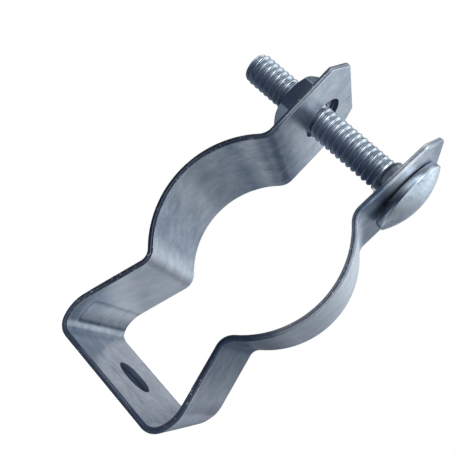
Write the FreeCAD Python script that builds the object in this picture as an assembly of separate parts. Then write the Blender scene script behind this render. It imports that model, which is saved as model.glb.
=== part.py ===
import FreeCAD, Part
from FreeCAD import Vector
import math
import os

# Pipe clip for 1 in conduit: one bent steel strap, a square-necked clamp bolt and a hex nut.
# Millimetres. Z runs from the base up to the two ears, X along the bolt with its head at +X,
# Y across the strap. The origin is the centre of the mounting hole, on the underside of the base.

# strap: cold-bent from one strip, the same on both sides of the mounting hole
strap_width = 26.35
strap_thickness = 1.03
edge_break = 0.12            # flat worn along each corner of the strip's two sheared edges
base_half_flat = 9.8         # flat of the base, from the hole's centre to the first bend
base_hole_diameter = 7.3

# each bend's radius is the one on its hollow side
corner_bend_radius = 2.085   # the fold at the end of the base
corner_bend_angle = 67.5
shoulder_bend_radius = 6.88  # the soft bend straight after it, which turns the leg inwards
leg_lean = 15.57             # degrees from upright
leg_flat = 10.95
knee_bend_radius = 2.2
saddle_radius = 17.37        # on the pipe side
saddle_wrap_below = 48.0     # degrees, from level down to the knee
saddle_wrap_above = 45.42    # degrees, from level up to the ear
ear_bend_radius = 2.785
ear_lean = 1.72              # degrees outwards, as the ears spring open
ear_length = 18.29
ear_clip_across = 4.4        # the clipped corners of each ear
ear_clip_down = 4.0

# where the bolt crosses the ears
bolt_to_ear_end = 8.7        # from the bolt's axis up to the top of the ears
nut_side_hole_diameter = 8.7
nut_side_hole_rise = 0.78    # its centre above the bolt, which has dropped to the hole's lower edge

# bolt: 1/4-20 UNC by 1 1/2 in, low domed head on a square neck
thread_diameter = 6.24       # over the crests
bolt_length = 38.1           # under the head
bolt_tip_chamfer = 1.2
bolt_tip_slope = 28.0        # degrees from the axis
neck_square = 6.35
neck_corner_radius = 0.6
neck_length = 4.76
neck_end_chamfer = 0.7
neck_clearance = 0.3         # all round, in the square hole
head_diameter = 14.9
head_underside_diameter = 14.3
head_rim_height = 1.46
head_dome_height = 2.15

# nut: 7/16 in across flats
nut_across_flats = 11.11
nut_height = 5.4
nut_face_diameter = 10.5     # the round faces left by the corner chamfers
nut_chamfer_slope = 30.0     # degrees from the face
nut_turn = -3.3              # degrees, the flat towards -Y turned down from level
nut_bore_clearance = 0.03
nut_countersink = 0.45

seat_gap = 0.02              # between a bearing face and the ear that it touches

half_width = strap_width / 2
half_thickness = strap_thickness / 2


class Course:
    """Half of the strap's middle line in the XZ plane, walked from the hole's axis outwards.

    Each piece is kept as the points that one face of the strap needs: a straight has its two
    ends and a bend also has its middle. `offset` is the distance outwards from the middle line.
    """

    def __init__(self):
        self.x, self.z, self.heading = 0.0, half_thickness, 0.0
        self.pieces = []

    def outward(self, heading):
        return math.sin(heading), -math.cos(heading)

    def straight(self, length):
        start = (self.x, self.z)
        self.x += length * math.cos(self.heading)
        self.z += length * math.sin(self.heading)
        heading, end = self.heading, (self.x, self.z)

        def points(offset):
            nx, nz = self.outward(heading)
            return [Vector(x + offset * nx, 0, z + offset * nz) for x, z in (start, end)]

        self.pieces.append(points)

    def bend(self, hollow_radius, degrees):
        """Positive degrees turn the strap inwards, over the pipe space."""
        radius = math.copysign(hollow_radius + half_thickness, degrees)
        nx, nz = self.outward(self.heading)
        centre = (self.x - radius * nx, self.z - radius * nz)
        first, turn = self.heading, math.radians(degrees)

        def points(offset):
            reach = radius + offset
            steps = [self.outward(first + turn * share) for share in (0, 0.5, 1)]
            return [Vector(centre[0] + reach * sx, 0, centre[1] + reach * sz) for sx, sz in steps]

        self.pieces.append(points)
        self.heading += turn
        nx, nz = self.outward(self.heading)
        self.x, self.z = centre[0] + radius * nx, centre[1] + radius * nz

    def face_edges(self, offset):
        edges = []
        for piece in self.pieces:
            points = piece(offset)
            curve = Part.LineSegment(*points) if len(points) == 2 else Part.Arc(*points)
            edges.append(curve.toShape())
        return edges


course = Course()
course.straight(base_half_flat)
course.bend(corner_bend_radius, corner_bend_angle)
course.bend(shoulder_bend_radius, 90 + leg_lean - corner_bend_angle)
course.straight(leg_flat)
course.bend(knee_bend_radius, -(leg_lean + saddle_wrap_below))
course.bend(saddle_radius, saddle_wrap_below + saddle_wrap_above)
course.bend(ear_bend_radius, -(saddle_wrap_above + ear_lean))
ear_foot_x, ear_foot_z = course.x, course.z
course.straight(ear_length)
ear_top_z = course.z

# the bolt's axis, and how far out the leaning ear's outer face is at a height
bolt_z = ear_top_z - bolt_to_ear_end
lean = math.radians(ear_lean)


def ear_outside(z):
    return ear_foot_x + (z - ear_foot_z) * math.tan(lean) + half_thickness / math.cos(lean)


def seat(radius):
    """Where a flat round face of this radius, square to the bolt, first meets the ear."""
    return ear_outside(bolt_z) + radius * abs(math.tan(lean)) + seat_gap


def cylinder_along_x(radius, x_start, x_end, z):
    return Part.makeCylinder(radius, x_end - x_start, Vector(x_start, 0, z), Vector(1, 0, 0))


def square_along_x(side, corner_radius, x_start, x_end):
    """A square bar on the bolt's axis, flats level and upright, its long corners rounded."""
    bar = Part.makeBox(x_end - x_start, side, side, Vector(x_start, -side / 2, bolt_z - side / 2))
    corners = [e for e in bar.Edges if abs(e.tangentAt(0).x) > 0.9]
    return bar.makeFillet(corner_radius, corners)


def make_strap():
    inner = course.face_edges(-half_thickness)
    outer = course.face_edges(half_thickness)
    tip = Part.LineSegment(inner[-1].Vertexes[-1].Point, outer[-1].Vertexes[-1].Point).toShape()
    root = Part.LineSegment(inner[0].Vertexes[0].Point, outer[0].Vertexes[0].Point).toShape()
    outline = Part.Wire(Part.__sortEdges__(inner + outer + [tip, root]))
    half = Part.Face(outline).extrude(Vector(0, strap_width, 0))
    half.translate(Vector(0, -half_width, 0))
    half = half.cut(Part.makeCompound([ear_clip(side) for side in (-1, 1)]))
    strap = half.fuse(half.mirror(Vector(0, 0, 0), Vector(1, 0, 0))).removeSplitter()
    strap = break_long_edges(strap)

    reach = ear_outside(ear_top_z) + strap_thickness
    square_hole = neck_square + 2 * neck_clearance
    holes = [
        Part.makeCylinder(base_hole_diameter / 2, 4 * strap_thickness,
                          Vector(0, 0, -strap_thickness)),
        cylinder_along_x(nut_side_hole_diameter / 2, -reach, 0, bolt_z + nut_side_hole_rise),
        square_along_x(square_hole, neck_corner_radius, 0, reach),
    ]
    for hole in holes:
        strap = strap.cut(hole)
    return strap


def ear_clip(side):
    """The triangle that is clipped off one top corner of the ear."""
    reach = ear_outside(ear_top_z) + strap_thickness
    over = strap_thickness       # the cutter runs past the strip's edge and end
    rise = over * ear_clip_down / ear_clip_across
    run = over * ear_clip_across / ear_clip_down
    edge, end = half_width, ear_top_z
    corners = [(edge + over, end - ear_clip_down - rise), (edge + over, end + over),
               (edge - ear_clip_across - run, end + over)]
    wedge = Part.makePolygon([Vector(0, side * y, z) for y, z in corners + corners[:1]])
    return Part.Face(wedge).extrude(Vector(reach, 0, 0))


def break_long_edges(strap):
    """Takes the corners off both sheared edges, from one ear's clipped end to the other's."""
    clip_starts = ear_top_z - ear_clip_down
    edges = []
    for edge in strap.Edges:
        box = edge.BoundBox
        on_side = box.YLength < 1e-6 and abs(abs(box.YMax) - half_width) < 1e-6
        if on_side and box.ZMin < clip_starts - strap_thickness:
            edges.append(edge)
    return strap.makeChamfer(edge_break, edges)


def revolve_about_bolt(points):
    """Turns a closed outline of (along X, radius) points about the bolt's axis."""
    outline = Part.makePolygon([Vector(x, 0, bolt_z + r) for x, r in points + points[:1]])
    return Part.Face(outline).revolve(Vector(0, 0, bolt_z), Vector(1, 0, 0), 360)


def make_head(under_x):
    rim_r, under_r = head_diameter / 2, head_underside_diameter / 2
    rim_x = under_x + head_rim_height
    crown_x = rim_x + head_dome_height
    dome_radius = (rim_r ** 2 + head_dome_height ** 2) / (2 * head_dome_height)
    half_angle = math.asin(rim_r / dome_radius) / 2
    dome_mid = (crown_x - dome_radius * (1 - math.cos(half_angle)), dome_radius * math.sin(half_angle))
    bulge = (rim_r - under_r) * 0.8

    def at(x, r):
        return Vector(x, 0, bolt_z + r)
    profile = Part.Wire([
        Part.LineSegment(at(under_x, 0), at(under_x, under_r)).toShape(),
        Part.Arc(at(under_x, under_r), at(under_x + head_rim_height * 0.45, under_r + bulge),
                 at(rim_x, rim_r)).toShape(),
        Part.Arc(at(rim_x, rim_r), at(*dome_mid), at(crown_x, 0)).toShape(),
        Part.LineSegment(at(crown_x, 0), at(under_x, 0)).toShape(),
    ])
    return Part.Face(profile).revolve(Vector(0, 0, bolt_z), Vector(1, 0, 0), 360)


def make_bolt():
    under_x = seat(head_underside_diameter / 2)
    tip_x = under_x - bolt_length
    neck_x = under_x - neck_length
    thread_r = thread_diameter / 2
    tip_r = thread_r - bolt_tip_chamfer * math.tan(math.radians(bolt_tip_slope))
    shank = revolve_about_bolt([(tip_x, 0), (tip_x, tip_r), (tip_x + bolt_tip_chamfer, thread_r),
                                (under_x, thread_r), (under_x, 0)])
    # the square neck's corners are turned down at its end by a cone
    corner_reach = neck_square
    cone = revolve_about_bolt([(neck_x, 0), (neck_x, thread_r),
                               (neck_x + neck_end_chamfer, thread_r + neck_end_chamfer),
                               (neck_x + neck_end_chamfer, corner_reach),
                               (under_x, corner_reach), (under_x, 0)])
    neck = square_along_x(neck_square, neck_corner_radius, neck_x, under_x).common(cone)
    return shank.fuse([neck, make_head(under_x)]).removeSplitter()


def make_nut():
    inner_x = -seat(nut_face_diameter / 2)
    outer_x = inner_x - nut_height
    corner_r = nut_across_flats / 2 / math.cos(math.radians(30))
    # a flat's normal points at -Y when its corners lie 30 degrees above and below
    angles = [math.radians(180 - nut_turn + 30 + 60 * i) for i in range(6)]
    corners = [Vector(outer_x, corner_r * math.cos(a), bolt_z + corner_r * math.sin(a)) for a in angles]
    hexagon = Part.Face(Part.makePolygon(corners + corners[:1])).extrude(Vector(nut_height, 0, 0))
    face_r = nut_face_diameter / 2
    chamfer = (corner_r * 1.05 - face_r) * math.tan(math.radians(nut_chamfer_slope))
    turned = revolve_about_bolt([
        (outer_x, 0), (outer_x, face_r), (outer_x + chamfer, corner_r * 1.05),
        (inner_x - chamfer, corner_r * 1.05), (inner_x, face_r), (inner_x, 0)])
    bore_r = thread_diameter / 2 + nut_bore_clearance
    bore = revolve_about_bolt([
        (outer_x, 0), (outer_x, bore_r + nut_countersink), (outer_x + nut_countersink, bore_r),
        (inner_x - nut_countersink, bore_r), (inner_x, bore_r + nut_countersink), (inner_x, 0)])
    return hexagon.common(turned).cut(bore)


pieces = {
    "strap": make_strap(),
    "clamp_bolt": make_bolt(),
    "hex_nut": make_nut(),
}
os.makedirs("parts", exist_ok=True)
for name, shape in pieces.items():
    shape.exportStep(f"parts/{name}.step")
    box = shape.BoundBox
    print(f"{name}: {len(shape.Solids)} solid, valid {shape.isValid()}, {shape.Volume:.1f} mm3, "
          f"X {box.XMin:.2f} to {box.XMax:.2f}, Y {box.YMin:.2f} to {box.YMax:.2f}, "
          f"Z {box.ZMin:.2f} to {box.ZMax:.2f}")
print(f"bolt axis at z {bolt_z:.3f}, ear foot {ear_foot_x:.3f}, {ear_foot_z:.3f}, ear top {ear_top_z:.3f}")
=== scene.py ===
import bmesh
import bpy
import numpy as np
from mathutils import Matrix


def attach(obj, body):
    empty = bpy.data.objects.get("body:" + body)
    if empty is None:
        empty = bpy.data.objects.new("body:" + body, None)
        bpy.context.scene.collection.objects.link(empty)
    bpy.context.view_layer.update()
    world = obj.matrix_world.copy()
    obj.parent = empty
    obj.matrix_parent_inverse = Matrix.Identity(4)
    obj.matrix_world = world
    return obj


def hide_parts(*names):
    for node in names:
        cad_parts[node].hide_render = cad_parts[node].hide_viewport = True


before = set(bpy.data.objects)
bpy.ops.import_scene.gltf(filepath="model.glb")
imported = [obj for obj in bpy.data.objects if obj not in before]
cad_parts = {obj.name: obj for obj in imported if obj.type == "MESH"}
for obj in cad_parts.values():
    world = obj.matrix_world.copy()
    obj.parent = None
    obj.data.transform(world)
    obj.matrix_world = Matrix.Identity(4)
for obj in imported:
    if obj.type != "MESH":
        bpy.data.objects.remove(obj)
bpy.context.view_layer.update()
MM = 0.001

# The strap: one strip of 1 mm steel, sheared to width and punched while flat, then folded in
# press tools into two mirrored legs, saddles and ears. It is zinc plated after bending, and
# its plating is mottled, with tool marks at the folds. Painted light and shade lie along it, at its
# folds and on its sheared edges.
strap_width = 26.35
strap_thickness = 1.03
half_width = strap_width / 2
half_thickness = strap_thickness / 2
base_hole_radius = 3.65
ear_length = 18.29
ear_clip_across = 4.4
ear_clip_down = 4.0
bolt_on_ear = 9.586  # along the ear, from its bend to the bolt's axis
round_hole_radius = 4.35
round_hole_offset = 0.78  # how far it is punched past the bolt's axis
square_hole_half = 3.475

# Half of the strap, from the middle of the base to an ear's end: each straight's length or each
# bend's radius, the degrees it turns inwards and its rows of cells, where they are even.
runs = [
    (9.8, 0.0, 0),
    (2.6, 67.5, 16),
    (7.395, 38.07, 9),
    (10.95, 0.0, 9),
    (2.715, -63.57, 14),
    (17.885, 93.42, 30),
    (3.3, -47.14, 14),
    (ear_length, 0.0, 0),
]
run_lengths = [size * np.radians(abs(turn)) if turn else size for size, turn, _ in runs]
run_ends = np.concatenate([[0.0], np.cumsum(run_lengths)])
headings = np.radians(np.concatenate([[0.0], np.cumsum([turn for _, turn, _ in runs])]))
fold_start, ear_start, strip_end = run_ends[1], run_ends[-2], run_ends[-1]

# The middle line is the running sum of short steps along the heading.
line_points = 60001
line_at = np.linspace(0.0, strip_end, line_points)
heading_at = np.interp(line_at, run_ends, headings)
step = np.diff(line_at)
step_heading = (heading_at[1:] + heading_at[:-1]) / 2
middle_x = np.concatenate([[0.0], np.cumsum(step * np.cos(step_heading))])
middle_z = np.concatenate([[0.0], np.cumsum(step * np.sin(step_heading))]) + half_thickness
bolt_z = np.interp(ear_start + bolt_on_ear, line_at, middle_z)


def bend_strip(along, across, depth):
    """A point of the flat strip, carried on to the bent one: along the middle line from the
    centre of the base, across it, and depth outwards from it, square to the heading there."""
    reach = np.abs(along)
    heading = np.interp(reach, run_ends, headings)
    x = np.interp(reach, line_at, middle_x) + depth * np.sin(heading)
    z = np.interp(reach, line_at, middle_z) - depth * np.cos(heading)
    return np.stack([np.copysign(x, along), across, z], axis=-1)


class Surface:
    """Grids of points, in millimetres, with the quads between their neighbours."""

    def __init__(self):
        self.points = []
        self.notes = []
        self.quads = []
        self.count = 0

    def add(self, points, notes):
        """Keeps a grid of points, with three numbers for each that its material reads, and gives
        the points' places in the mesh."""
        shape = points.shape[:-1]
        self.points.append(points.reshape(-1, 3))
        self.notes.append(notes.reshape(-1, 3))
        places = self.count + np.arange(points.size // 3).reshape(shape)
        self.count += points.size // 3
        return places

    def join(self, places, turned=False, closed=False):
        """A quad between each four neighbours of a grid of places, and between its last column
        and its first where it is closed."""
        if closed:
            places = np.concatenate([places, places[:, :1]], axis=1)
        quads = np.stack([places[:-1, :-1], places[1:, :-1], places[1:, 1:], places[:-1, 1:]], -1)
        quads = quads.reshape(-1, 4)
        self.quads.append(quads[:, ::-1] if turned else quads)

    def make(self, name, note_name):
        """The mesh object, with its doubled points merged and its faces turned outwards."""
        mesh = bpy.data.meshes.new(name)
        points = np.concatenate(self.points) * MM
        mesh.from_pydata(points.tolist(), [], np.concatenate(self.quads).tolist())
        note = mesh.attributes.new(note_name, "FLOAT_VECTOR", "POINT")
        note.data.foreach_set("vector", np.concatenate(self.notes).astype(np.float32).ravel())
        shaped = bmesh.new()
        shaped.from_mesh(mesh)
        bmesh.ops.remove_doubles(shaped, verts=shaped.verts, dist=1e-7)
        bmesh.ops.dissolve_degenerate(shaped, edges=shaped.edges, dist=1e-8)
        bmesh.ops.recalc_face_normals(shaped, faces=shaped.faces)
        shaped.to_mesh(mesh)
        shaped.free()
        mesh.shade_smooth()
        piece = bpy.data.objects.new(name, mesh)
        bpy.context.scene.collection.objects.link(piece)
        return piece


def spaced(stops):
    """Values from the first stop to the last: each stop is a value and the number of even cells
    from there to the next."""
    parts = [np.linspace(a, b, cells + 1)[:-1] for (a, cells), (b, _) in zip(stops, stops[1:])]
    return np.concatenate(parts + [[stops[-1][0]]])


# Rows across the strip, close together in the bends and next to them. The holes are cut between
# the rows named here, measured from the middle of the base and from the ear's bend.
base_hole_row = 5.6
ear_hole_low_row = 4.4
ear_hole_high_row = 16.6
bend_margin = 0.5
end_margin = 0.4
half_rows = [spaced([(0, 10), (base_hole_row, 5), (fold_start - bend_margin, 2), (fold_start, 0)])]
for number, (_, turn, cells) in enumerate(runs[1:-1], start=1):
    first, last = run_ends[number], run_ends[number + 1]
    if turn:
        half_rows.append(np.linspace(first, last, cells + 1))
    else:
        half_rows.append(spaced([(first, 2), (first + bend_margin, cells),
                                 (last - bend_margin, 2), (last, 0)]))
half_rows.append(ear_start + spaced([
    (0, 2), (bend_margin, 5), (ear_hole_low_row, 15), (ear_length - ear_clip_down, 4),
    (ear_hole_high_row, 3), (ear_length - end_margin, 2), (ear_length, 0)]))
half_rows = np.unique(np.round(np.concatenate(half_rows), 6))
stations = np.concatenate([-half_rows[:0:-1], half_rows])

# Columns along the strip, as shares of its half width, which narrows at the clipped ears.
half_across = np.interp(np.abs(stations), [0, strip_end - ear_clip_down, strip_end],
                        [half_width, half_width, half_width - ear_clip_across])
across_shares = spaced([(-1, 1), (-0.985, 1), (-0.965, 1), (-0.93, 5), (-0.5, 13), (0.5, 5),
                        (0.93, 1), (0.965, 1), (0.985, 1), (1, 0)])

# The outline of the flat strip, point by point along the far side, over the head's ear, back
# along the near side and over the nut's ear, and the places of each side's points in it.
far_side = np.stack([stations, half_across], -1)
last_end = np.stack([np.full(across_shares.size, strip_end), across_shares[::-1] * half_across[-1]], -1)
outline = np.concatenate([far_side, last_end[1:-1], (far_side * [1, -1])[::-1],
                          (last_end * [-1, 1])[::-1][1:-1]])
row_count = stations.size
column_count = across_shares.size
round_outline = np.append(np.arange(outline.shape[0]), 0)
far_places = round_outline[:row_count]
end_places = round_outline[row_count - 1:row_count + column_count - 1]
near_places = round_outline[row_count + column_count - 2:2 * row_count + column_count - 2][::-1]
start_places = round_outline[2 * row_count + column_count - 3:][::-1]


def ways_into_metal(loop):
    """For a closed loop that has the metal on its right, the mean of the unit normals of the two
    sides that meet at each point, divided by one plus their cosine. That stretches it at the
    corners, so that a line drawn at a distance from the loop keeps its distance."""
    side = np.roll(loop, -1, axis=0) - loop
    side /= np.linalg.norm(side, axis=1, keepdims=True)
    normal = np.stack([side[:, 1], -side[:, 0]], -1)
    before = np.roll(normal, 1, axis=0)
    return (normal + before) / (1 + (normal * before).sum(1, keepdims=True))


# The sheared edge, from the outer face to the inner one, as steps into the metal from the
# outline against depth: a rolled-over corner, the sheared land, a step to the torn part and its
# corner, which the press pad has broken wider over the middle of the base. Then a hole's edge.
edge_steps = np.array([(0.17, 0.515), (0.12, 0.49), (0.075, 0.44), (0.04, 0.36), (0.02, 0.25),
                       (0.006, 0.12), (0.0, 0.04), (0.0, -0.06), (0.045, -0.11), (0.05, -0.2),
                       (0.045, -0.40), (0.05, -0.45), (0.065, -0.485), (0.085, -0.515)])
hole_steps = np.array([(0.12, 0.515), (0.05, 0.49), (0.01, 0.43), (0.0, 0.3), (0.0, 0.0),
                       (0.0, -0.42), (0.015, -0.48), (0.05, -0.515)])
pad_half = 6.6
pad_widening = 0.04
torn_wander = 0.03
outline_ways = ways_into_metal(outline)
edge_widening = np.where(np.abs(outline[:, 0]) < pad_half, pad_widening, 0.0)

# The torn part's edge wanders up and down along the strip, as the product of two slow waves.
edge_wander = torn_wander * np.sin(outline[:, 0] * 1.9) * np.sin(outline[:, 0] * 0.73 + 1.0)


def add_wall(surface, loop, ways, steps, wander, widening):
    """The wall round a closed loop: each step's distance into the metal and its depth, all
    round. The wander moves the torn part's depths, and the widening the last corner."""
    torn = np.interp(steps[:, 1], [-0.40, -0.2, 0.04, 0.12], [0.0, 1.0, 1.0, 0.0])[:, None]
    corner = np.interp(steps[:, 1], [-0.515, -0.40], [1.0, 0.0])[:, None]
    flat = loop[None] + (steps[:, :1] + corner * widening)[..., None] * ways[None]
    depth = np.broadcast_to(steps[:, 1:2] + torn * wander, flat.shape[:2])
    places = surface.add(bend_strip(flat[..., 0], flat[..., 1], depth), np.dstack([flat, depth]))
    surface.join(places, closed=True)
    return places


def rounded_square(angle, half_size, power):
    """The reach of a square with rounded corners: its half size over the norm, to a power, of
    the angle's cosine and sine. Power 2 makes it a circle, and a higher one sharpens it."""
    norm = np.abs(np.cos(angle)) ** power + np.abs(np.sin(angle)) ** power
    return half_size / norm ** (1 / power)


# Each hole, in order along the strip: its centre, the rows it is cut between, its half size and
# the power of its outline. The face round it is made of rings of points, at the shares below of
# the way from its rim to the frame of rows and edges around it.
holes = [
    (-(ear_start + bolt_on_ear + round_hole_offset), -(ear_start + ear_hole_high_row),
     -(ear_start + ear_hole_low_row), round_hole_radius, 2.0),
    (0.0, -base_hole_row, base_hole_row, base_hole_radius, 2.0),
    (ear_start + bolt_on_ear, ear_start + ear_hole_low_row, ear_start + ear_hole_high_row,
     square_hole_half, 9.0),
]
ring_shares = np.array([0.0, 0.03, 0.12, 0.27, 0.5, 0.75, 0.93, 0.965, 0.985])[:, None, None]

strap_surface = Surface()
wall = add_wall(strap_surface, outline, outline_ways, edge_steps, edge_wander, edge_widening)
for face, inner_face in ((0, False), (-1, True)):
    face_depth = edge_steps[face, 1]
    along = np.repeat(stations[:, None], column_count, axis=1)
    across = half_across[:, None] * across_shares[None]
    rim = outline + edge_steps[face, 0] * outline_ways
    along[0, 1:-1] = rim[start_places, 0][1:-1]
    along[-1, 1:-1] = rim[end_places, 0][1:-1]
    sheet = strap_surface.add(bend_strip(along, across, face_depth),
                              np.dstack([along, across, np.full(along.shape, face_depth)]))
    sheet[:, -1] = wall[face][far_places]
    sheet[:, 0] = wall[face][near_places]
    sheet[0, ::-1] = wall[face][start_places]
    sheet[-1, ::-1] = wall[face][end_places]
    whole_from = 0
    for centre, low, high, half_size, power in holes:
        low_row = int(np.argmin(np.abs(stations - low)))
        high_row = int(np.argmin(np.abs(stations - high)))
        strap_surface.join(sheet[whole_from:low_row + 1], turned=inner_face)
        whole_from = high_row
        block = sheet[low_row:high_row + 1]
        frame_places = np.concatenate([block[:-1, 0], block[-1, :-1], block[:0:-1, -1], block[0, :0:-1]])
        frame_points = np.concatenate(strap_surface.notes)[frame_places, :2] - [centre, 0.0]
        angle = np.arctan2(frame_points[:, 1], frame_points[:, 0])
        hole_loop = (rounded_square(angle, half_size, power)[:, None]
                     * np.stack([np.cos(angle), np.sin(angle)], -1))
        hole_ways = ways_into_metal(hole_loop)
        hole_rim = hole_loop + hole_steps[face, 0] * hole_ways
        rings = hole_rim + ring_shares * (frame_points - hole_rim) + [centre, 0.0]
        ring_depth = np.full(rings.shape[:2], face_depth)
        places = strap_surface.add(bend_strip(rings[..., 0], rings[..., 1], ring_depth),
                                   np.dstack([rings, ring_depth]))
        places = np.concatenate([places, frame_places[None]])
        strap_surface.join(places, turned=inner_face, closed=True)
        if not inner_face:
            add_wall(strap_surface, hole_loop + [centre, 0.0], hole_ways, hole_steps, 0.0, 0.0)
    strap_surface.join(sheet[whole_from:], turned=inner_face)

strap = strap_surface.make("bent_strap", "strip")


class Value:
    """A number's socket in a material, with arithmetic that adds its Math nodes."""

    def __init__(self, finish, socket):
        self.finish = finish
        self.socket = socket

    def math(self, operation, *others):
        """The operation on this number and the others, in that order."""
        inputs = dict(enumerate((self, *others)))
        return self.finish.node("ShaderNodeMath", {"operation": operation}, inputs)[0]

    def __add__(self, other):
        return self.math("ADD", other)

    def __radd__(self, other):
        return self.math("ADD", other)

    def __sub__(self, other):
        return self.math("SUBTRACT", other)

    def __rsub__(self, other):
        return (self * -1.0).math("ADD", other)

    def __mul__(self, other):
        return self.math("MULTIPLY", other)

    def __rmul__(self, other):
        return self.math("MULTIPLY", other)

    def absolute(self):
        """The number without its sign."""
        return self.math("ABSOLUTE")

    def ramp(self, low, high):
        """0 below low, 1 above high and smooth between them."""
        node = self.finish.node("ShaderNodeMapRange", {"interpolation_type": "SMOOTHSTEP"},
                                {"Value": self, "From Min": low, "From Max": high})
        return node["Result"]

    def within(self, full, none):
        """1 as far as full to either side of 0, and falling smoothly to 0 at none."""
        return 1.0 - self.absolute().ramp(full, none)


class Outputs:
    """A node's output sockets, each handed out as a Value."""

    def __init__(self, finish, node):
        self.finish = finish
        self.made = node

    def __getitem__(self, name):
        return Value(self.finish, self.made.outputs[name])


class Finish:
    """One material, or the world, whose nodes are added one call at a time."""

    def __init__(self, owner):
        owner.use_nodes = True
        self.owner = owner
        self.tree = owner.node_tree
        self.tree.nodes.clear()

    def node(self, kind, settings=None, sockets=None):
        """A node of a kind, with its settings, a ramp's stops among them, then its sockets'
        values or links."""
        made = self.tree.nodes.new(kind)
        for name, value in (settings or {}).items():
            if name == "stops":
                elements = made.color_ramp.elements
                elements.remove(elements[-1])
                elements[0].position, elements[0].color = value[0]
                for position, shade in value[1:]:
                    elements.new(position).color = shade
            else:
                setattr(made, name, value)
        for name, value in (sockets or {}).items():
            if isinstance(value, Value):
                self.tree.links.new(value.socket, made.inputs[name])
            else:
                made.inputs[name].default_value = value
        return Outputs(self, made)

    def mix(self, share, first, second):
        """A colour between two, by a share from 0 to 1."""
        made = self.node("ShaderNodeMix", {"data_type": "RGBA"}, {0: share, 6: first, 7: second})
        return made[2]

    def noise(self, scale, detail, roughness, distortion=0.0):
        """Noise over the piece, fixed to its object's coordinates."""
        return self.node("ShaderNodeTexNoise", {}, {
            "Vector": self.place, "Scale": scale, "Detail": detail, "Roughness": roughness,
            "Distortion": distortion})["Fac"]

    def notes(self, name):
        """The three numbers that the surface's points carry."""
        vector = self.node("ShaderNodeAttribute", {"attribute_name": name})["Vector"]
        parts = self.node("ShaderNodeSeparateXYZ", {}, {"Vector": vector})
        return parts["X"], parts["Y"], parts["Z"]


def colour(red, green, blue):
    """A colour written as it looks on screen, 0 to 255, as the linear value the shader takes."""
    value = np.array([red, green, blue]) / 255.0
    linear = np.where(value <= 0.04045, value / 12.92, ((value + 0.055) / 1.055) ** 2.4)
    return (*linear.tolist(), 1.0)


def zinc_plate(name, dark, light, rough):
    """Zinc plate: a bluish metal whose lightness and polish drift in soft cloudy patches, with
    darker stains that have ragged edges and fine dark specks."""
    finish = Finish(bpy.data.materials.new(name))
    finish.place = finish.node("ShaderNodeTexCoord")["Object"]
    cloud = finish.noise(260.0, 4.0, 0.6, 0.4)
    grain = finish.noise(1500.0, 3.0, 0.6)
    stain = finish.noise(150.0, 6.0, 0.62, 1.2).ramp(0.48, 0.66)
    speck = finish.noise(2600.0, 2.0, 0.5).ramp(0.64, 0.72)
    finish.base = finish.mix(cloud.ramp(0.3, 0.7), dark, light)
    finish.base = finish.mix(stain * 0.14 + speck * 0.22, finish.base, colour(104, 122, 146))
    finish.rough = rough + cloud * 0.08 + grain * 0.06 + stain * 0.05
    finish.height = grain * 0.3 + cloud
    return finish


def metal_surface(finish, height_mm):
    """Ends a zinc finish: its base colour, its roughness and its height as a bump. The tint
    dims what the metal shows at a glancing angle."""
    bump = finish.node("ShaderNodeBump", {}, {"Height": finish.height, "Strength": 1.0,
                                              "Distance": height_mm * MM})["Normal"]
    shader = finish.node("ShaderNodeBsdfPrincipled", {}, {
        "Base Color": finish.base, "Metallic": 0.96, "Roughness": finish.rough, "Normal": bump,
        "Specular Tint": (0.86, 0.88, 0.91, 1.0)})
    finish.node("ShaderNodeOutputMaterial", {}, {"Surface": shader["BSDF"]})
    return finish.owner


strap_finish = zinc_plate("strap_zinc_plate", colour(228, 235, 243), colour(244, 247, 250), 0.24)
along, across, depth = strap_finish.notes("strip")
reach = along.absolute()

# Painted light and shade along the strip, against millimetres from the middle of the base, below 0
# on the nut's side: the plating's lightness stands in for the light and shade that fall on the strap.
# It has painted light on the nut's leg, which is whitish, painted shade in the head's fold and knee and
# where both ears begin, under the head too, and a painted highlight along the crease beside a dark line
# of painted shade under the nut's leg.
painted_light_tones = [
    (-80, 0.56), (-72, 0.80), (-67, 0.50), (-64.2, 0.12), (-62.0, 0.12), (-59.4, 0.66),
    (-56, 0.18), (-51, 0.44), (-46, 0.68), (-40, 0.30), (-35, 0.25), (-28, 1.0), (-21, 0.98),
    (-16, 0.86), (-12.7, 0.40), (-12.2, 0.9), (-11.8, 0.45), (-11.3, 0.20), (-8.5, 0.32),
    (5, 0.32), (13, 0.04), (19, 0.78), (26, 0.26), (30, 0.0), (35, 0.0), (40, 0.72), (47, 0.80),
    (60, 0.58), (64.5, 0.05), (68, 0.05), (73, 1.0), (80, 0.40),
]
tone_reach = 84.0
stops = [(0.5 + at / tone_reach / 2, (grey, grey, grey, 1.0)) for at, grey in painted_light_tones]
tone = strap_finish.node("ShaderNodeValToRGB", {"stops": stops},
                         {"Fac": along * (0.5 / tone_reach) + 0.5})["Color"]
tone = strap_finish.node("ShaderNodeSeparateColor", {}, {"Color": tone})["Red"]

# Marks of the press tools on the inner face: the thin dark outline of the punch's rectangle
# above the crease, and the faint border that the pad left near the base hole. Painted shade
# darkens a strip between the punch's outline and the near edge, and the crease's painted highlight fades
# out towards the far edge.
inner = 1.0 - depth.ramp(-0.50, -0.44)
punch_middle = -15.35
punch_half = 2.35
punch_side = -9.1
dull_middle = -16.5
crease_at = -12.2
pad_side = -6.9
from_punch = along - punch_middle
punch_ends = (from_punch.absolute() - punch_half).within(0.0, 0.8) * across.ramp(-9.4, -8.8)
punch_line = punch_ends + (across - punch_side).within(0.0, 0.6) * from_punch.within(2.3, 2.5)
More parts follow.
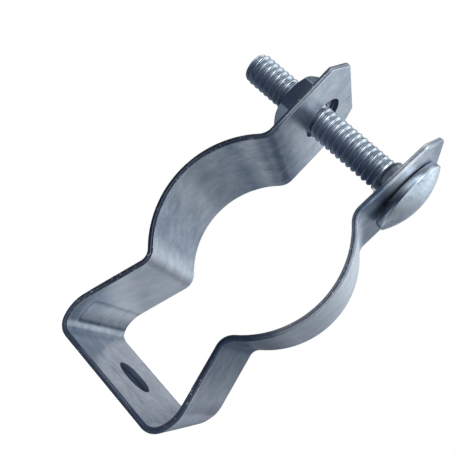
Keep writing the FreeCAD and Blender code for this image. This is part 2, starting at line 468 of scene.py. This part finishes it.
# Painted shade in a strip beside the near edge, and the fade of the crease's painted highlight.
beside = (1.0 - across.ramp(-12.4, -8.6)) * (along - dull_middle).within(0.0, 7.0)
crease_fade = (along - crease_at).within(0.0, 0.9) * across.ramp(2.0, 8.0)
pad_line = (across - pad_side).within(0.0, 0.45) * along.within(5.5, 7.5)
# The tool marks and the painted shade come off the tone together.
tone = tone - inner * (punch_line * 0.38 + beside * 0.44 + crease_fade * 0.22 + pad_line * 0.14)
mottle = strap_finish.noise(330.0, 6.0, 0.66, 0.7) - 0.5
fleck = strap_finish.noise(2400.0, 3.0, 0.6).ramp(0.60, 0.68)
tone = tone * 1.12 + mottle * 0.8 - fleck * 0.22
tone = tone.math("MAXIMUM", 0.0).math("MINIMUM", 1.0)
# The tone, painted light and shade with mottling, tool marks and flecks, sets the plate between dark
# blue-grey and its own colour.
strap_finish.base = strap_finish.mix(tone, colour(84, 102, 126), strap_finish.base)

# The sheared edges are rough and dark, partly their own dull colour and partly painted shade,
# less so up the head's side and on the ears, with raised specks of burr that the painted shade leaves
# out and a painted highlight along the torn part beside the base hole. The painted shade runs a little
# further round the corner
# to the faces turned from the camera: the outer one on the nut's side and the inner one on the head's.
# The walls of the holes are a middling grey.
face_away = (depth * along * -1.0).ramp(0.0, 1.0)
wall_share = 1.0 - (depth.absolute() - face_away * 0.02).ramp(0.455, 0.50)
end_share = reach.ramp(strip_end - 0.7, strip_end - 0.5)
hole_share = wall_share * across.within(8.0, 8.4) * (1.0 - end_share)
edge_dark = 0.93 - along.ramp(28.0, 40.0) * 0.36 - reach.ramp(58.0, 66.0) * 0.34
burr = strap_finish.noise(2300.0, 3.0, 0.7).ramp(0.60, 0.67)
torn_middle = -0.22
torn_line_painted_highlight = (depth - torn_middle).within(0.0, 0.09) * (1.0 - reach.ramp(6.2, 6.9))
edge_share = wall_share * edge_dark
edge_dull_and_painted_shade = edge_share * (1.0 - burr * 0.8) * (1.0 - torn_line_painted_highlight * 0.8)
strap_finish.base = strap_finish.mix(edge_dull_and_painted_shade, strap_finish.base, colour(66, 76, 96))
strap_finish.base = strap_finish.mix(hole_share, strap_finish.base, colour(120, 132, 152))
strap_finish.rough = strap_finish.rough + hole_share * 0.35 + wall_share * 0.12
strap_finish.height = strap_finish.height + burr * edge_share * (1.0 - hole_share) * 16.0
strap.data.materials.append(metal_surface(strap_finish, 0.004))
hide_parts("strap")
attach(strap, "root")

# The clamp bolt: a quarter inch, 20 threads to the inch, cold headed with a low dome over a
# square neck that keys into the ear, its thread rolled right up to the neck. Zinc plated.
bolt_under_x = 10.995
bolt_length = 38.1
crest_radius = 3.12
root_radius = 2.4
thread_pitch = 1.27
thread_start = 0.345  # in pitches along the axis, where a crest stands at the top
run_out_length = 0.5
neck_half = 3.175
neck_length = 4.76
neck_power = 7.0
neck_end_x = bolt_under_x - neck_length
rim_thickness = 1.46
rim_x = bolt_under_x + rim_thickness
rim_radius = 7.45
underside_radius = 6.9
dome_height = 2.15
tip_x = bolt_under_x - bolt_length
tip_chamfer = 0.7
tip_slope = np.tan(np.radians(28.0))
tip_radius = crest_radius - tip_chamfer * tip_slope


def about_bolt(x, radius, angle):
    """A point at a distance from the bolt's axis, turned from the top towards the near side."""
    return np.stack([x, -radius * np.sin(angle), bolt_z + radius * np.cos(angle)], -1)


def full_turn(count):
    """Even angles round a full turn."""
    return np.linspace(0.0, 2 * np.pi, count + 1)[:-1]


def thread_reach(x, angle):
    """The thread's radius, from its phase: the distance along the axis in pitches less the turn.
    The rolled crest is broad and round and the root narrow: a raised cosine to the power 0.62."""
    phase = x / thread_pitch - thread_start - angle / (2 * np.pi)
    height = (0.5 + 0.5 * np.cos(2 * np.pi * phase)) ** 0.62
    return root_radius + (crest_radius - root_radius) * height


def turned_piece(name, x, radius, angle):
    """A piece round the bolt's axis, made of closed rings of points, each with its place along
    the axis, its radius and its angle."""
    angle = np.broadcast_to(angle, x.shape)
    surface = Surface()
    places = surface.add(about_bolt(x, radius, angle), np.dstack([x, radius, angle]))
    surface.join(places, closed=True)
    return surface.make(name, "turned")


# The rings from the top of the dome down: the dome is part of a sphere, and the rim below it is
# rounded and draws in to the flat underside.
around = full_turn(96)
dome_radius = (rim_radius ** 2 + dome_height ** 2) / (2 * dome_height)
dome_swing = np.arcsin(rim_radius / dome_radius) * np.linspace(0.0, 0.996, 26)
below_dome = np.array([(0.015, 7.445), (0.05, 7.455), (0.25, 7.455), (0.6, 7.43), (1.0, 7.36),
                       (1.3, 7.25), (1.4, 7.18), (1.45, 7.08), (rim_thickness, underside_radius)])
head_x = np.concatenate([rim_x + dome_height - dome_radius * (1 - np.cos(dome_swing)),
                         rim_x - below_dome[:, 0]])
head_r = np.concatenate([dome_radius * np.sin(dome_swing), below_dome[:, 1]])
rows_x = [np.repeat(head_x[:, None], around.size, 1)]
rows_r = [np.repeat(head_r[:, None], around.size, 1)]

# The underside closes in to the neck, whose end is cut by a cone down to the thread's crest.
neck = rounded_square(around, neck_half, neck_power)
for share in (0.5, 0.06, 0.0):
    rows_x.append(np.full((1, around.size), bolt_under_x))
    rows_r.append((neck + share * (underside_radius - neck))[None])
for below_head in (0.06, 1.5, neck_length - 0.9, neck_length - 0.7, neck_length - 0.35, neck_length):
    ring_x = bolt_under_x - below_head
    cone = crest_radius + (ring_x - neck_end_x)
    rows_x.append(np.full((1, around.size), ring_x))
    rows_r.append(np.minimum(neck, np.maximum(cone, crest_radius))[None])

# The rows of the thread run along its helix, so that each row keeps its place on the profile.
# They begin past the tip, and what lies past either end of the thread is drawn in to that end.
profile_stops = np.array([0.0, 0.07, 0.14, 0.21, 0.28, 0.35, 0.41, 0.46, 0.5, 0.54, 0.59, 0.65, 0.72,
                          0.79, 0.86, 0.93])
turns = np.arange(int((neck_end_x - tip_x) / thread_pitch) + 4)
helix_rows = (turns[:, None] + profile_stops[None]).ravel()[::-1] * thread_pitch
first_crest = (np.floor(tip_x / thread_pitch) - 1 + thread_start) * thread_pitch
helix_x = first_crest + helix_rows[:, None] + around[None] / (2 * np.pi) * thread_pitch
helix_x = np.clip(helix_x, tip_x, neck_end_x)
run_out = np.clip((neck_end_x - helix_x) / run_out_length, 0.0, 1.0)
thread_r = crest_radius + (thread_reach(helix_x, around[None]) - crest_radius) * run_out
tip_cone = tip_radius + (helix_x - tip_x) * tip_slope
rows_x.append(helix_x)
rows_r.append(np.minimum(thread_r, tip_cone))
rows_x.append(np.full((1, around.size), tip_x))
rows_r.append(np.full((1, around.size), 0.0))
bolt = turned_piece("threaded_clamp_bolt", np.concatenate(rows_x), np.concatenate(rows_r), around)

# The thread's roots are duller and carry painted shade on its upper side, and all its lower side has
# bluer painted shade and is duller. The neck's near flat has painted shade, the rim's upper side a
# little painted shade, and the dome is finely pitted.
bolt_finish = zinc_plate("bolt_zinc_plate", colour(185, 194, 203), colour(208, 214, 220), 0.14)
at_x, radius, angle = bolt_finish.notes("turned")
past_neck_end = at_x.ramp(neck_end_x, neck_end_x + 0.3)
past_underside = at_x.ramp(bolt_under_x - 0.395, bolt_under_x - 0.095)
on_thread = 1.0 - past_neck_end
in_root = (1.0 - radius.ramp(2.5, 2.98)) * on_thread * at_x.ramp(tip_x + 0.2, tip_x + 0.6)
on_neck = past_neck_end * (1.0 - past_underside) * (angle - 1.95).within(0.55, 0.75)
on_dome = at_x.ramp(rim_x - 0.1, rim_x + 0.3)
on_rim = (1.0 - at_x.ramp(rim_x - 0.35, rim_x)) * past_underside
lower = (angle - 2.75).within(0.80, 1.30)
lower_thread = on_thread * lower
painted_shade = in_root * (1.0 - lower) * 0.34 + on_neck * 0.5 + on_rim * (1.0 - lower) * 0.28
pits = bolt_finish.noise(1700.0, 4.0, 0.7).ramp(0.54, 0.66)
bolt_finish.base = bolt_finish.mix(painted_shade, bolt_finish.base, colour(58, 68, 88))
# Painted shade, bluer, over the thread's lower side.
bolt_finish.base = bolt_finish.mix(lower_thread * 0.55, bolt_finish.base, colour(100, 124, 160))
bolt_finish.base = bolt_finish.mix(on_dome * pits * 0.55, bolt_finish.base, colour(96, 110, 130))
bolt_finish.rough = (bolt_finish.rough + on_dome * 0.14 + in_root * 0.18 + lower_thread * 0.26
                     + on_rim * 0.05)
bolt.data.materials.append(metal_surface(bolt_finish, 0.003))
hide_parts("clamp_bolt")
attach(bolt, "root")

# The nut: a plain hexagon, cold formed, both faces chamfered to a circle and its bore tapped.
# It is spun up until it just touches the round-holed ear. Zinc plated.
nut_half_flats = 11.11 / 2
nut_corner_radius = 0.22
nut_outer_x = -16.335
nut_inner_x = -10.935
nut_face_radius = 5.25
nut_chamfer = np.radians(30.0)
nut_turn = np.radians(-3.3)
bore_radius = 3.15

# The hexagon's reach at each angle: half its width over the cosine on a flat, and next to a
# corner the far side of the small circle that rounds it, by Pythagoras.
sextant = np.radians([-29.6, -29.0, -28.0, -26.0, -22.0, -16.0, -8.0, 0.0, 8.0, 16.0, 22.0, 26.0,
                      28.0, 29.0, 29.6, 30.0])
from_flat = np.tile(sextant, 6)
nut_angle = from_flat + np.repeat(np.arange(6), sextant.size) * np.pi / 3 + np.pi / 2 - nut_turn
from_corner = np.pi / 6 - np.abs(from_flat)
corner_centre = (nut_half_flats - nut_corner_radius) / np.cos(np.pi / 6)
beside_corner = corner_centre * np.sin(from_corner)
corner_rise = np.sqrt(np.maximum(nut_corner_radius ** 2 - beside_corner ** 2, 0.0))
flat_reach = nut_half_flats / np.cos(from_flat)
corner_reach = np.minimum(flat_reach, corner_centre * np.cos(from_corner) + corner_rise)
hexagon = np.where(beside_corner < nut_corner_radius / 2, corner_reach, flat_reach)

# From a face inwards: how deep each ring lies and its radius, from the bore over its countersink,
# across the face and down the chamfer to the hexagon's side.
chamfer_depth = (hexagon - nut_face_radius) * np.tan(nut_chamfer)
face_profile = [
    (0.45, bore_radius),
    (0.02, bore_radius + 0.43),
    (0.0, bore_radius + 0.47),
    (0.0, nut_face_radius - 0.1),
    (0.012, nut_face_radius),
    (chamfer_depth * 0.25 + 0.015, nut_face_radius + (hexagon - nut_face_radius) * 0.25),
    (chamfer_depth - 0.03, hexagon - 0.05),
    (chamfer_depth + 0.01, hexagon - 0.012),
    (chamfer_depth + 0.06, hexagon),
]
nut_rings = [(nut_outer_x + deep, reach) for deep, reach in face_profile]
nut_rings += [(nut_inner_x - deep, reach) for deep, reach in reversed(face_profile)]
nut_rings.append(nut_rings[0])
nut_x = np.stack([np.broadcast_to(x, hexagon.shape) for x, _ in nut_rings])
nut_r = np.stack([np.broadcast_to(reach, hexagon.shape) for _, reach in nut_rings])
nut = turned_piece("chamfered_nut", nut_x, nut_r, nut_angle)
nut_finish = zinc_plate("nut_zinc_plate", colour(168, 181, 197), colour(184, 196, 209), 0.16)
nut.data.materials.append(metal_surface(nut_finish, 0.003))
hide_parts("hex_nut")
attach(nut, "root")

# The camera, level with the middle of the clip, looks along the strap's width from the head's
# side, a little upwards, and is rolled so that the ears point to the picture's upper right.
camera_place = np.array([28.83, -110.72, 29.53])
camera_pan = np.radians(18.208)
camera_rise = np.radians(1.211)
camera_roll = np.radians(45.18)
ahead = np.array([-np.sin(camera_pan) * np.cos(camera_rise), np.cos(camera_pan) * np.cos(camera_rise),
                  np.sin(camera_rise)])
level = np.array([np.cos(camera_pan), np.sin(camera_pan), 0.0])
upright = np.cross(level, ahead)
right = level * np.cos(camera_roll) + upright * np.sin(camera_roll)
up = upright * np.cos(camera_roll) - level * np.sin(camera_roll)


def faced(place_mm, right, up, ahead):
    """The matrix of a camera or lamp at a place, which faces ahead."""
    turn = Matrix(np.stack([right, up, -ahead], 1).tolist()).to_4x4()
    return Matrix.Translation(place_mm * MM) @ turn


camera_data = bpy.data.cameras.new("camera")
camera_data.lens = 49.687
camera_data.sensor_width = 36.0
camera_data.clip_start = 0.01
camera_data.clip_end = 10.0
camera = bpy.data.objects.new("camera", camera_data)
camera.matrix_world = faced(camera_place, right, up, ahead)
bpy.context.scene.collection.objects.link(camera)
bpy.context.scene.camera = camera

# The studio: a small round pale table, a white backdrop behind the clip that its metal shows
# too, a dark room with soft panels of light everywhere else, and one soft lamp high in front.
floor_radius = 36.0
floor_drop = 0.02  # keeps the table just clear of the base
floor_turn = full_turn(96)
floor_rim = np.stack([np.cos(floor_turn), np.sin(floor_turn), 0.0 * floor_turn], -1) * floor_radius
floor_rim[:, 2] = -floor_drop
floor_mesh = bpy.data.meshes.new("floor")
floor_mesh.from_pydata((floor_rim * MM).tolist(), [], [tuple(range(floor_turn.size))])
floor = bpy.data.objects.new("floor", floor_mesh)
bpy.context.scene.collection.objects.link(floor)

# The table is pale where light falls on it and pure white to the camera, with a painted shadow
# in dark blue on a round spot under the base hole, which makes the hole look dark.
floor_finish = Finish(bpy.data.materials.new("pale_floor"))
from_middle = floor_finish.node("ShaderNodeTexCoord")["Object"]
away = floor_finish.node("ShaderNodeVectorMath", {"operation": "LENGTH"}, {0: from_middle})["Value"]
open_floor = away.ramp(4.5 * MM, 6.5 * MM)
painted_shadow_blue = (0.055, 0.068, 0.098, 1.0)
pale_grey = (0.55, 0.55, 0.56, 1.0)
white = (1.0, 1.0, 1.0, 1.0)
pale = floor_finish.node("ShaderNodeBsdfDiffuse", {}, {
    "Color": floor_finish.mix(open_floor, painted_shadow_blue, pale_grey)})["BSDF"]
shine = floor_finish.node("ShaderNodeEmission", {}, {
    "Color": white, "Strength": open_floor * 0.86})["Emission"]
lit = floor_finish.node("ShaderNodeAddShader", {}, {0: pale, 1: shine})["Shader"]
rays = floor_finish.node("ShaderNodeLightPath")
seen_white = rays["Is Camera Ray"] + (rays["Is Glossy Ray"] + rays["Is Transmission Ray"]) * 0.05
shown = floor_finish.node("ShaderNodeMixShader", {}, {0: seen_white, 1: pale, 2: lit})["Shader"]
floor_finish.node("ShaderNodeOutputMaterial", {}, {"Surface": shown})
floor_mesh.materials.append(floor_finish.owner)

world = bpy.data.worlds.new("white_studio")
bpy.context.scene.world = world
studio = Finish(world)
toward = studio.node("ShaderNodeTexCoord")["Generated"]

# The soft panels, as the metal's reflections show them: degrees round from +Y towards +X,
# degrees up, how tightly each is bunched and its brightness in the middle.
panels = [
    (184.0, 49.0, 28.0, 2.9),
    (156.0, 17.0, 15.0, 2.2),
    (49.0, 39.0, 8.0, 1.95),
    (90.0, 6.0, 14.0, 1.4),
    (-60.0, 86.0, 9.0, 1.6),
    (-31.0, 13.0, 23.0, 0.70),
    (-1.0, 11.0, 37.0, 1.05),
    (32.0, -23.0, 33.0, 1.10),
    (-58.0, -65.0, 4.0, 0.26),
]


def facing(middle):
    """The cosine between the direction looked in and the one to a middle."""
    return studio.node("ShaderNodeVectorMath", {"operation": "DOT_PRODUCT"},
                       {0: toward, 1: middle})["Value"]


def panel_light(round_by, up_by, bunching, strength):
    """A panel's light fades with the cosine from its middle, to the power of its bunching."""
    turn, rise = np.radians(round_by), np.radians(up_by)
    middle = (np.sin(turn) * np.cos(rise), np.cos(turn) * np.cos(rise), np.sin(rise))
    return facing(middle).math("MAXIMUM", 0.0).math("POWER", bunching) * strength


glow = sum(panel_light(*panel) for panel in panels)
glow_colour = studio.node("ShaderNodeCombineColor", {}, {
    "Red": glow * 0.94, "Green": glow, "Blue": glow * 1.03})["Color"]
room_blue = (0.030, 0.043, 0.072, 1.0)
room = studio.node("ShaderNodeMix", {"data_type": "RGBA", "blend_type": "ADD"},
                   {0: 1.0, 6: room_blue, 7: glow_colour})[2]

# The backdrop is white in every picture, and to reflections it fills the part of the surround
# that lies behind the clip in this one.
rays = studio.node("ShaderNodeLightPath")
backdrop = facing(tuple(ahead.tolist())).ramp(0.925, 0.970)
mirrored = (rays["Is Glossy Ray"] + rays["Is Transmission Ray"]) * backdrop
behind = studio.mix(rays["Is Camera Ray"] + mirrored, room, white)
back = studio.node("ShaderNodeBackground", {}, {"Color": behind, "Strength": 1.0})["Background"]
studio.node("ShaderNodeOutputWorld", {}, {"Surface": back})

lamp_place = np.array([102.0, -279.0, 303.0])
lamp_aim = np.array([0.0, 0.0, 35.0])
lamp_light = bpy.data.lights.new("high_front_lamp", "AREA")
lamp_light.shape = "SQUARE"
lamp_light.size = 160.0 * MM
lamp_light.energy = 0.35
lamp = bpy.data.objects.new("high_front_lamp", lamp_light)
shining = (lamp_aim - lamp_place) / np.linalg.norm(lamp_aim - lamp_place)
lamp_side = np.cross(shining, [0.0, 0.0, 1.0])
lamp_side /= np.linalg.norm(lamp_side)
lamp.matrix_world = faced(lamp_place, lamp_side, np.cross(lamp_side, shining), shining)
bpy.context.scene.collection.objects.link(lamp)

bpy.context.scene.view_settings.view_transform = "Standard"
